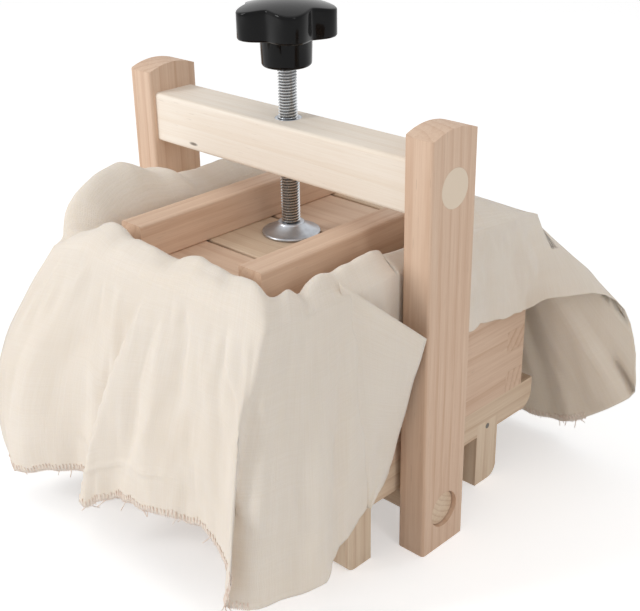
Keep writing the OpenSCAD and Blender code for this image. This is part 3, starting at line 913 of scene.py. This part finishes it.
@dataclass
class PressCloth:
    """One square of muslin over the four walls, from the tuck inside to the hem.

    A place s runs round the walls' outer top edge in millimetres, from the left front
    corner along the front, the right side, the back and the left side. A share v runs
    down the hanging cloth, from 0 at the rim to 1 at the hem.
    """

    mould_w: float = 151.0
    mould_len: float = 196.0
    mould_x: float = 11.5
    mould_y: float = -3.0
    wall_t: float = 15.5
    wall_top: float = 150.8
    play: float = 0.8
    tuck: float = 14.0
    rail_top: float = 50.0
    rail_w: float = 24.0
    rail_over: float = 11.0
    rail_play: float = 2.5
    rail_side: float = 1.4
    post_w: float = 33.0
    post_play: float = 1.6
    fan: float = 30.0
    step: float = 1.9
    over_rows: int = 12
    hang_rows: int = 76
    thickness: float = 0.5
    flap_rows: int = 44
    flap_columns: int = 24
    stitch_step: float = 0.55
    thread_d: float = 0.5
    stitch_reach: tuple[float, float] = (3.0, 4.6)
    stitch_dip: float = 0.7
    stitch_side: float = 0.6
    bare_from: float = 8.0
    bare_to: float = 38.0
    loose_share: float = 0.06
    loose_length: tuple[float, float] = (2.0, 5.5)
    seed: int = 7
    stand_off: float = 2.6
    crown_share: float = 0.35
    arch_lean: float = 0.35
    nip: float = 14.0
    calm_at: float = 18.0
    calm_reach: float = 24.0
    long_wrinkle: float = 3.6
    fine_wrinkle: float = 1.1
    rim_wrinkle: float = 0.9
    ripple: float = 1.8
    hem_ripple: float = 2.4
    crease: float = 0.9
    crease_row: float = 0.84
    floor_gap: float = 0.8
    thread_gap: float = 0.6
    corner_start: float = 45.0
    corner_step: float = 2.5
    uv_stretch: float = 1.25
    row_height: float = 1.8
    flat_side: float = 0.43

    def __post_init__(self) -> None:
        """Work out the walk round the walls, and the tables that follow it."""
        self.x0 = self.mould_x - self.mould_w / 2
        self.x1 = self.mould_x + self.mould_w / 2
        self.y0 = self.mould_y - self.mould_len / 2
        self.y1 = self.mould_y + self.mould_len / 2
        self.front = self.mould_w
        self.right = self.front + self.mould_len
        self.back = self.right + self.mould_w
        self.left = self.back + self.mould_len
        self.post_front = self.front - self.y0 - self.post_w / 2 - self.post_play
        self.post_back = self.front - self.y0 + self.post_w / 2 + self.post_play
        f, r, e = self.front, self.right, self.left
        self.lift_at: Table = [
            (0, 6), (8, 11), (16, 17), (26, 20), (34, 19), (42, 16), (66, 16), (82, 16), (95, 18),
            (119, 19), (135, 18), (142, 17),
            (f, 13), (f + 7, 12), (f + 14, 14), (f + 21, 9), (f + 27, 12), (f + 51, 13), (f + 70, 14),
            (self.post_front - 2, 12), (self.post_front, 9), (self.post_back, 9), (self.post_back + 8, 20),
            (f + 139, 24), (f + 155, 21), (f + 170, 16), (f + 182, 11), (r - 2, 5), (r + 8, 2), (r + 30, 3),
            (r + 60, 6), (r + 90, 12), (self.back, 14), (e - 150, 14), (e - 131, 17), (e - 118, 17),
            (e - 101, 17), (e - 84, 17.5), (e - 71, 24), (e - 47, 31), (e - 35, 32), (e - 22, 30), (e - 15, 26),
            (e - 9, 20), (e - 5, 10), (e, 6)]
        self.bulge_at: Table = [(0, 0), (e - 160, 0), (e - 130, 12), (e - 101, 16), (e - 84, 16), (e - 60, 13),
                                (e - 22, 12), (e - 9, 9), (e - 3, 2), (e, 0)]
        self.turn_at: Table = [
            (0, 225), (self.fan, 262), (self.front - self.fan, 272), (self.front, 300),
            (self.front + self.fan, 352), (self.right - self.fan, 360), (self.right, 390),
            (self.right + self.fan, 432), (self.back - self.fan, 458), (self.back, 515),
            (self.back + self.fan, 538), (self.left - self.fan, 545), (self.left, 585)]
        self.hem_at: Table = self.hem_table()
        self.folds = self.fold_list()

    def hem_table(self) -> Table:
        """List the hem: place, then x, y, z and how full the cloth hangs above it."""
        f, r, b, e = self.front, self.right, self.back, self.left
        return [
            (0, -106, -124, 19, 1.95), (18, -90, -123, 21, 1.75), (34, -64, -119, 28, 1.5),
            (44, -44, -115, 34, 1.4), (50, -34, -120, 26, 1.3), (70, -16, -119, 33, 1.3),
            (90, 8, -118, 41, 1.3), (112, 38, -118, 45, 1.3), (130, 63, -118, 43, 1.3),
            (141, 82, -121, 37, 1.3), (147, 78, -122, 25, 1.3), (f + 2, 72, -120, 13.5, 1.3),
            (f + 7, 86, -118, 17, 1.3), (f + 14, 95, -107, 19, 1.4), (f + 26, 103, -90, 26, 1.5),
            (f + 42, 102, -72, 36, 1.5), (f + 58, 98, -48, 46, 1.5), (f + 68, 93.5, -29, 53, 1.3),
            (f + 76, 91, -22.5, 66, 1.2), (self.post_front, 88.2, -17.8, 82, 1.0),
            (self.post_back, 88.3, 15.5, 104, 1.0), (f + 139, 90, 38, 106, 1.0), (r - 22, 92.5, 79, 103, 1.0),
            (r - 10, 98, 84, 106, 0.9), (r - 2, 107, 89, 112, 0.8), (r + 4, 117, 97, 115, 0.7),
            (r + 8, 127, 107, 114, 0.7), (r + 12, 135, 118, 103, 0.7), (r + 16, 140, 123, 86, 0.7),
            (r + 20, 142, 125, 67, 0.7), (r + 24, 141, 125, 51, 0.7), (r + 29, 132, 120, 42, 0.8),
            (r + 38, 115, 125, 26, 0.9), (r + 50, 99, 130, 15, 1.0), (r + 64, 81, 130, 10, 1.1),
            (r + 76, 61, 125, 9, 1.2), (r + 92, 42, 123, 13, 1.3), (r + 112, 14, 119, 23, 1.2),
            (b - 22, -38, 119, 26, 1.3), (b - 8, -90, 130, 20, 1.5), (b, -126, 129, 12, 1.5),
            (b + 8, -124, 112, 14, 1.5), (b + 26, -110, 84, 26, 1.4), (b + 38, -100, 64, 31, 1.3),
            (b + 55, -79, 44, 34, 1.3), (e - 90, -75, -10, 34, 1.3), (e - 45, -85, -56, 30, 1.3),
            (e - 20, -86, -88, 22, 1.6), (e, -106, -124, 19, 1.95)]

    def fold_list(self) -> list[Fold]:
        """List the folds seen on the cloth, and those that its other sides need."""
        f, r, b, e = self.front, self.right, self.back, self.left
        ledge = FoldKind.LEDGE
        return [
            Fold(77, 50, 16, 6.5, 0.02, ledge), Fold(70, 44, 9, -3.0, 0.1),
            Fold(30, 18, 11, 4.5), Fold(12, 34, 9, 2.5, 0.35), Fold(58, 66, 6, 2.2, 0.0, end=0.5),
            Fold(92, 96, 9, 3.6, 0.05), Fold(104, 110, 6, -2.4, 0.0, end=0.6), Fold(112, 84, 8, 2.0, 0.45),
            Fold(124, 172, 10, 4.5, 0.04, ledge, 0.75), Fold(138, 142, 8, 5.0, 0.3),
            Fold(134, 136, 4, 2.6, 0.0, end=0.35), Fold(143, 147, 3.4, 2.8, 0.0, end=0.3),
            Fold(f + 4, f + 8, 3.4, 2.6, 0.0, end=0.35), Fold(f + 12, f + 18, 4, -2.2, 0.0, end=0.4),
            Fold(f + 30, f + 26, 9, 4.0, 0.05), Fold(f + 50, f + 30, 7, -2.4, 0.2),
            Fold(r - 52, r - 66, 10, 2.2, 0.1), Fold(r - 20, r - 4, 9, 3.0, 0.2),
            Fold(r + 34, r + 46, 8, -2.4, 0.3), Fold(r + 48, r + 58, 6, 2.6, 0.3),
            Fold(r + 74, r + 80, 11, 5.0), Fold(r + 104, r + 108, 8, -4.0, 0.1), Fold(b - 44, b - 40, 12, 7.0),
            Fold(b + 24, b + 20, 8, -3.0, 0.3), Fold(b + 56, b + 62, 10, 5.0),
            Fold(b + 84, b + 80, 7, -3.0, 0.2), Fold(e - 82, e - 90, 10, 5.5),
            Fold(e - 56, e - 50, 7, -3.0, 0.2), Fold(e - 30, e - 22, 9, 5.0)]

    def walk(self, s: float, inset: float) -> Vector:
        """Walk round the mould at a distance inside its outer faces.

        Args:
            s: Place along the outer top edge.
            inset: Distance inwards.

        Returns:
            The point, as (x, y).
        """
        a, b, c, d = self.x0 + inset, self.x1 - inset, self.y0 + inset, self.y1 - inset
        s %= self.left
        if s < self.front:
            return Vector((a + (b - a) * s / self.mould_w, c))
        if s < self.right:
            return Vector((b, c + (d - c) * (s - self.front) / self.mould_len))
        if s < self.back:
            return Vector((b - (b - a) * (s - self.right) / self.mould_w, d))
        return Vector((a, d - (d - c) * (s - self.back) / self.mould_len))

    def direction(self, s: float) -> Vector:
        """Direction in which the cloth hangs out at a place."""
        angle = math.radians(read_table(self.turn_at, s)[0])
        return Vector((math.cos(angle), math.sin(angle)))

    def free(self, s: float) -> float:
        """Share of the free folds left beside the right post, where the cloth is nipped."""
        gap = max(self.post_front - s, s - self.post_back, 0.0)
        return smooth(gap / self.nip)

    def calm(self, s: float, v: float) -> float:
        """Share of the folds left near the right back corner, where the cloth runs along the wall."""
        near = math.exp(-((s - self.right - self.calm_at) / self.calm_reach) ** 4)
        return 1.0 - near * (1.0 - smooth((v - 0.3) / 0.5))

    def wrinkle(self, s: float, v: float) -> float:
        """Height of the small wrinkles that are all over the cloth.

        Args:
            s: Place along the walls.
            v: Share of the way down to the hem.

        Returns:
            The height in millimetres.
        """
        angle = math.tau * s / self.left
        ring = Vector((math.cos(angle), math.sin(angle), 0.0))
        long_ones = noise.noise(ring * 9.0 + Vector((0, 0, v * 1.6))) * self.long_wrinkle
        fine = noise.noise(ring * 26.0 + Vector((v, 0, v * 5.0))) * self.fine_wrinkle
        rim = noise.noise(ring * 60.0 + Vector((0, 3 * v, v * 3.0))) * self.rim_wrinkle * (1 - v) ** 3
        return long_ones * (0.25 + 0.75 * v) + fine + rim

    def hang(self, s: float, v: float) -> Vector:
        """Find a point of the hanging cloth.

        Args:
            s: Place along the walls.
            v: Share of the way down to the hem.

        Returns:
            The point in millimetres.
        """
        edge = self.walk(s, 0.0)
        out = self.direction(s)
        loose = self.free(s)
        hem_x, hem_y, hem_z, full = read_table(self.hem_at, s)
        top = self.wall_top + self.play + self.crown_share * read_table(self.lift_at, s)[0]
        share = math.sin(full * v) / math.sin(full)
        base = edge + out * (self.play + self.stand_off * loose)
        point = base + (Vector((hem_x, hem_y)) - base) * share
        folds = sum(fold.push(s, v) + fold.push(s - self.left, v) + fold.push(s + self.left, v)
                    for fold in self.folds)
        lift = (folds + self.wrinkle(s, v)) * loose * self.calm(s, v) * smooth(v * 9.0)
        point += out * lift
        row = (v - self.crease_row + (s - 55) * 0.0006) / 0.011
        point += out * (self.crease * math.exp(-row ** 2) * smooth((s - 54) / 6) * smooth((118 - s) / 20))
        rough = noise.noise(Vector((s * 0.11, 7.0, 1.0)))
        height = top - v * (top - hem_z) + rough * self.hem_ripple * loose * v ** 3
        point = self.outside(point, self.x0, self.x1, self.y0, self.y1)
        if height < self.rail_top + 4:
            reach = self.rail_over + self.rail_play - self.play
            for x0 in (self.x0, self.x1 - self.rail_w):
                if self.post_front > s or s > self.post_back:
                    point = self.outside(point, x0 - self.rail_side, x0 + self.rail_w + self.rail_side,
                                         self.y0 - reach, self.y1 + reach)
        return Vector((point.x, point.y, max(height, self.floor_gap)))

    def outside(self, point: Vector, x0: float, x1: float, y0: float, y1: float) -> Vector:
        """Keep a point clear of an upright block.

        Args:
            point: The point, as (x, y).
            x0: Left side of the block.
            x1: Right side of the block.
            y0: Front of the block.
            y1: Back of the block.

        Returns:
            The point, or the nearest one outside the block.
        """
        gap = self.play
        if not (x0 - gap < point.x < x1 + gap and y0 - gap < point.y < y1 + gap):
            return point
        ways = [(point.x - x0, Vector((x0 - gap, point.y))), (x1 - point.x, Vector((x1 + gap, point.y))),
                (point.y - y0, Vector((point.x, y0 - gap))), (y1 - point.y, Vector((point.x, y1 + gap)))]
        return min(ways, key=lambda way: way[0])[1]

    def section(self, s: float) -> list[Vector]:
        """List the cloth's points at one place, from the tuck inside to the hem.

        Args:
            s: Place along the walls.

        Returns:
            The points in millimetres.
        """
        inner = self.walk(s, self.wall_t + self.play)
        lift = read_table(self.lift_at, s)[0]
        top = self.wall_top + self.play
        points = [Vector((inner.x, inner.y, top - self.tuck * (1 - i / 4))) for i in range(4)]
        edge = self.hang(s, 0.0)
        span = Vector((edge.x - inner.x, edge.y - inner.y))
        ripple = noise.noise(Vector((s * 0.09, 1.0, 4.0))) * self.ripple * self.free(s) * self.calm(s, 0.0)
        bulge = read_table(self.bulge_at, s)[0]
        out = self.direction(s)
        for i in range(1, self.over_rows):
            share = i / self.over_rows
            arch = math.sin(math.pi * share ** 0.85) ** 0.8
            height = top + (edge.z - top) * share + (lift * (1 - self.arch_lean * share) + ripple) * arch
            puff = out * (bulge * math.sin(math.pi * share ** 1.4))
            height += noise.noise(Vector((s * 0.045, share * 2.6, 2.0))) * 0.2 * lift * arch
            points.append(Vector((inner.x + span.x * share + puff.x, inner.y + span.y * share + puff.y,
                                  max(height, top))))
        points += [self.hang(s, i / self.hang_rows) for i in range(self.hang_rows + 1)]
        return points

    def stations(self) -> list[float]:
        """List the places round the walls, closer together beside the right post and the right back corner."""
        count = round(self.left / self.step)
        even = [self.left * i / count for i in range(count)]
        corner = [self.right + 0.95 + self.step * i for i in range(20)]
        return sorted(set(even + corner + [self.post_front, self.post_back, self.post_front - 0.9]))

    def flap(self) -> list[list[Vector]]:
        """List the rows of the corner that is folded back in front of the right post.

        Returns:
            Rows from the straight top edge to the hem, each from the cloth below it to the free edge.
        """
        start = Vector((87.5, -57, 163.5))
        free_edge: Table = [(0, 108.6, -20, 128.5), (0.14, 105, -20.2, 115), (0.28, 101.5, -20.6, 103.5),
                            (0.45, 99, -22.5, 88), (0.62, 97, -26, 73), (0.8, 98, -33, 60), (1, 100.5, -50, 45)]
        rows = []
        for i in range(self.flap_rows + 1):
            b = i / self.flap_rows
            s = self.front + 45 + 12 * b
            under = self.hang(s, b)
            out = self.direction(s)
            under -= Vector((out.x, out.y, 0.0)) * 1.4
            left = start.lerp(under, smooth(b / 0.1))
            right = Vector(read_table(free_edge, b))
            row = []
            for k in range(self.flap_columns + 1):
                a = k / self.flap_columns
                middle = math.sin(math.pi * a)
                sag = middle * (2.2 * smooth(b / 0.25))
                rough = noise.noise(Vector((a * 3.0, b * 4.0, 9.0))) * 1.6 * middle * smooth(b * 5)
                row.append(left.lerp(right, a) + Vector((0.94, -0.34, 0.0)) * (sag + rough))
            rows.append(row)
        return rows

    def stitches(self, grid: list[list[Vector]]) -> list[list[Vector]]:
        """Lay the zigzag of the overlocked hem, and its loose ends.

        Args:
            grid: Columns of the cloth's points, from the tuck to the hem.

        Returns:
            The threads, each a list of points in millimetres.
        """
        dice = random.Random(self.seed)
        places = self.stations()
        bare = (self.front + self.bare_from, self.right + self.bare_to)
        columns = [column for s, column in zip(places, grid) if not bare[0] < s < bare[1]]
        first = next(i for i, s in enumerate(places) if s >= bare[1])
        turned = len(places) - first
        columns = columns[-turned:] + columns[:-turned]
        zigzag, threads, carry = [], [], 0.0
        for column, after in zip(columns, columns[1:]):
            hem, then = column[-1], after[-1]
            up = (column[-4] - hem).normalized()
            along = then - hem
            away = up.cross(along)
            away = away.normalized() if away.length > 1e-6 else Vector((0, 0, 0))
            steps = carry + along.length / self.stitch_step
            for k in range(int(steps)):
                place = hem + along * ((k + 1 - carry) / max(steps - carry, 1.0))
                turn = len(zigzag) % 4
                reach = (dice.uniform(*self.stitch_reach), -self.stitch_dip,
                         dice.uniform(*self.stitch_reach), -self.stitch_dip)[turn]
                side = away * (self.stitch_side, 0.0, -self.stitch_side, 0.0)[turn]
                zigzag.append(place + up * reach + side)
                if dice.random() < self.loose_share:
                    tilt = along.normalized() * dice.uniform(-1, 1) - up * dice.uniform(0.4, 1.2)
                    long = dice.uniform(*self.loose_length)
                    curl = away * dice.uniform(-0.5, 0.5) * long
                    threads.append([place, place + tilt * long * 0.5 + curl * 0.3, place + tilt * long + curl])
            carry = steps - int(steps)
        for thread in [zigzag] + threads:
            for point in thread:
                point.z = max(point.z, self.thread_gap)
        return [[start, end] for start, end in zip(zigzag, zigzag[1:])] + threads

    def sew(self, name: str, threads: list[list[Vector]], material: Material) -> Piece:
        """Turn lines of thread into a piece.

        Args:
            name: Name of the piece.
            threads: Points of each thread in millimetres.
            material: The thread's material.

        Returns:
            The piece.
        """
        curve = bpy.data.curves.new(name + "_line", "CURVE")
        curve.dimensions = "3D"
        curve.bevel_depth = self.thread_d / 2 * MM
        curve.bevel_resolution = 0
        curve.use_fill_caps = True
        for thread in threads:
            spline = curve.splines.new("POLY")
            spline.points.add(len(thread) - 1)
            for place, point in zip(thread, spline.points):
                point.co = (*(place * MM), 1.0)
        holder = bpy.data.objects.new(name + "_line", curve)
        drawn = bpy.data.meshes.new_from_object(holder)
        mesh = bmesh.new()
        mesh.from_mesh(drawn)
        bpy.data.objects.remove(holder)
        bpy.data.meshes.remove(drawn)
        bmesh.ops.recalc_face_normals(mesh, faces=mesh.faces)
        piece = finish_mesh(name, mesh, material, None)
        declare(piece, "mould", "muslin")
        return piece

    def weave(self, name: str, grid: list[list[Vector]], places: list[tuple[float, float]],
              closed: bool, material: Material) -> Piece:
        """Turn a grid of points into a piece of cloth.

        Args:
            name: Name of the piece.
            grid: Columns of points in millimetres.
            places: Start and end of each column on the cut cloth, in millimetres.
            closed: Whether the last column joins the first.
            material: The muslin.

        Returns:
            The piece.
        """
        mesh = bmesh.new()
        cut = mesh.loops.layers.uv.new("cut")
        verts = [[mesh.verts.new(p * MM) for p in column] for column in grid]
        for i, column in enumerate(verts if closed else verts[:-1]):
            after = verts[(i + 1) % len(verts)]
            s0, s1 = places[i]
            for r in range(len(column) - 1):
                face = mesh.faces.new((column[r], column[r + 1], after[r + 1], after[r]))
                for loop, (s, row) in zip(face.loops, ((s0, r), (s0, r + 1), (s1, r + 1), (s1, r))):
                    loop[cut].uv = (s * MM * self.uv_stretch, row * self.row_height * MM)
        bmesh.ops.recalc_face_normals(mesh, faces=mesh.faces[:])
        piece = finish_mesh(name, mesh, material, 180)
        skin = piece.modifiers.new("thickness", "SOLIDIFY")
        skin.thickness = self.thickness * MM
        skin.offset = 0.0
        declare(piece, "mould", "muslin")
        return piece

    def build(self, material: Material, thread: Material) -> None:
        """Args:
            material: The muslin.
            thread: The hem's thread.
        """
        places = self.stations()
        grid = [self.section(s) for s in places]
        spans = list(zip(places, places[1:] + [self.left]))
        piece = self.weave("press_cloth", grid, spans, True, material)
        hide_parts("cloth_front", "cloth_left", "cloth_back", "cloth_right_back",
                    "cloth_right_front", "cloth_right_middle")
        columns = [list(column) for column in zip(*self.flap())]
        start = self.front + self.corner_start
        spans = [(start + self.corner_step * k, start + self.corner_step * (k + 1))
                 for k in range(len(columns))]
        corner = self.weave("cloth_corner", columns, spans, False, material)
        hem = self.sew("hem_stitch", self.stitches(grid), thread)


# ------------------------------------------------------------------------ studio


@dataclass
class Studio:
    """Camera, floor and soft light."""

    camera_at: Point = (0.4082, -0.3999, 0.3716)
    yaw: float = 44.14
    pitch: float = 25.04
    roll: float = -1.0
    focal_px: float = 1154.2
    floor_size: float = 6.0
    floor_glow: float = 0.4
    room_light: float = 0.56
    aim: Point = (0, 0, 0.12)

    def build(self) -> None:
        """Set up the whole studio."""
        self.camera()
        self.floor()
        self.lamps()
        self.world()
        bpy.context.scene.view_settings.view_transform = "Standard"

    def camera(self) -> None:
        """Stand the camera where the photograph was taken."""
        data = bpy.data.cameras.new("camera")
        data.sensor_width = 36.0
        data.lens = self.focal_px * data.sensor_width / IMAGE_WIDTH
        yaw, pitch, roll = (math.radians(a) for a in (self.yaw, self.pitch, self.roll))
        ahead = Vector((-math.sin(yaw) * math.cos(pitch), math.cos(yaw) * math.cos(pitch), -math.sin(pitch)))
        right = Vector((math.cos(yaw), math.sin(yaw), 0.0))
        up = right.cross(ahead)
        tilted_right = math.cos(roll) * right + math.sin(roll) * up
        tilted_up = -math.sin(roll) * right + math.cos(roll) * up
        turn = Matrix((tilted_right, tilted_up, -ahead)).transposed()
        camera = bpy.data.objects.new("camera", data)
        camera.matrix_world = Matrix.Translation(self.camera_at) @ turn.to_4x4()
        bpy.context.scene.collection.objects.link(camera)
        bpy.context.scene.camera = camera

    def floor(self) -> None:
        """Lay a pale floor that the camera sees as white."""
        material, n, surface = new_material("pale_floor")
        n.fill(surface, {"Base Color": (0.9, 0.9, 0.9, 1.0), "Roughness": 0.9})
        mesh = bmesh.new()
        bmesh.ops.create_grid(mesh, x_segments=2, y_segments=2, size=self.floor_size / 2)
        finish_mesh("floor", mesh, material, None)
        glow = n.add("ShaderNodeEmission", {"Color": WHITE, "Strength": self.floor_glow})
        both = n.add("ShaderNodeAddShader", {0: surface.outputs[0], 1: glow.outputs[0]})
        seen = self.seen_by(n, "Camera", "Glossy")
        choose = n.add("ShaderNodeMixShader", {0: seen, 1: surface.outputs[0], 2: both.outputs[0]})
        n.fill(material.node_tree.nodes["Material Output"], {"Surface": choose.outputs[0]})

    @staticmethod
    def seen_by(n: Nodes, first: str, *others: str) -> Socket:
        """Mask the rays of some kinds.

        Args:
            n: Node helper of the material or world.
            first: First kind of ray.
            *others: Other kinds.

        Returns:
            The mask.
        """
        light = n.add("ShaderNodeLightPath").outputs
        mask = light[f"Is {first} Ray"]
        for kind in others:
            mask = n.math("MAXIMUM", mask, light[f"Is {kind} Ray"])
        return mask

    def lamps(self) -> None:
        """Hang a large soft key at the left front, a fill at the right and a top light."""
        self.lamp("key", (-0.75, -1.25, 0.8), 11.0, (0.4, 0.9))
        self.lamp("fill", (1.4, -0.3, 0.8), 3.0, (0.3, 1.0))
        self.lamp("top", (0.1, 0.1, 1.7), 2.4, (1.2, 1.2))

    def lamp(self, name: str, place: Point, power: float, size: tuple[float, float]) -> None:
        """Hang one soft box that faces the press.

        Args:
            name: Name of the lamp.
            place: Where it hangs, in metres.
            power: Power in watts.
            size: Width and height of the lamp in metres.
        """
        data = bpy.data.lights.new(name, "AREA")
        data.energy = power
        data.shape = "RECTANGLE"
        data.size, data.size_y = size
        lamp = bpy.data.objects.new(name, data)
        lamp.location = place
        lamp.rotation_euler = (Vector(self.aim) - Vector(place)).to_track_quat("-Z", "Y").to_euler()
        bpy.context.scene.collection.objects.link(lamp)

    def world(self) -> None:
        """Light the room evenly, and show the camera a white backdrop."""
        world = bpy.data.worlds.new("studio")
        bpy.context.scene.world = world
        world.use_nodes = True
        n = Nodes(world.node_tree)
        seen = self.seen_by(n, "Camera", "Glossy", "Transmission")
        n.fill(world.node_tree.nodes["Background"],
               {"Color": WHITE, "Strength": n.ramp(seen, 0.0, 1.0, self.room_light, 1.0)})


def main() -> None:
    """Build the studio and dress the press, in order."""
    logging.basicConfig(level=logging.INFO, format="%(name)s: %(message)s")
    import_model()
    Studio().build()
    effects = Effects()
    zinc = ZincSteel("zinc_thread", linear(226, 228, 230), 0.18, 4.1).build(effects)
    bright = ZincSteel("zinc_bright", linear(196, 200, 206), 0.3).build(effects)
    nail = ZincSteel("nail_steel_dull", linear(120, 116, 110), 0.45).build(effects)
    plastic = GlossPlastic("knob_black", linear(5, 5, 6)).build(effects)
    muslin = Muslin("muslin_cream", linear(240, 228, 214), linear(226, 208, 186)).build(effects)
    Woodwork().dress(effects, nail)
    Screw().build(zinc, bright, plastic)
    hem_thread = Thread("hem_thread", linear(246, 232, 220), linear(230, 208, 192)).build(effects)
    PressCloth().build(muslin, hem_thread)


if __name__ == "__main__":
    main()
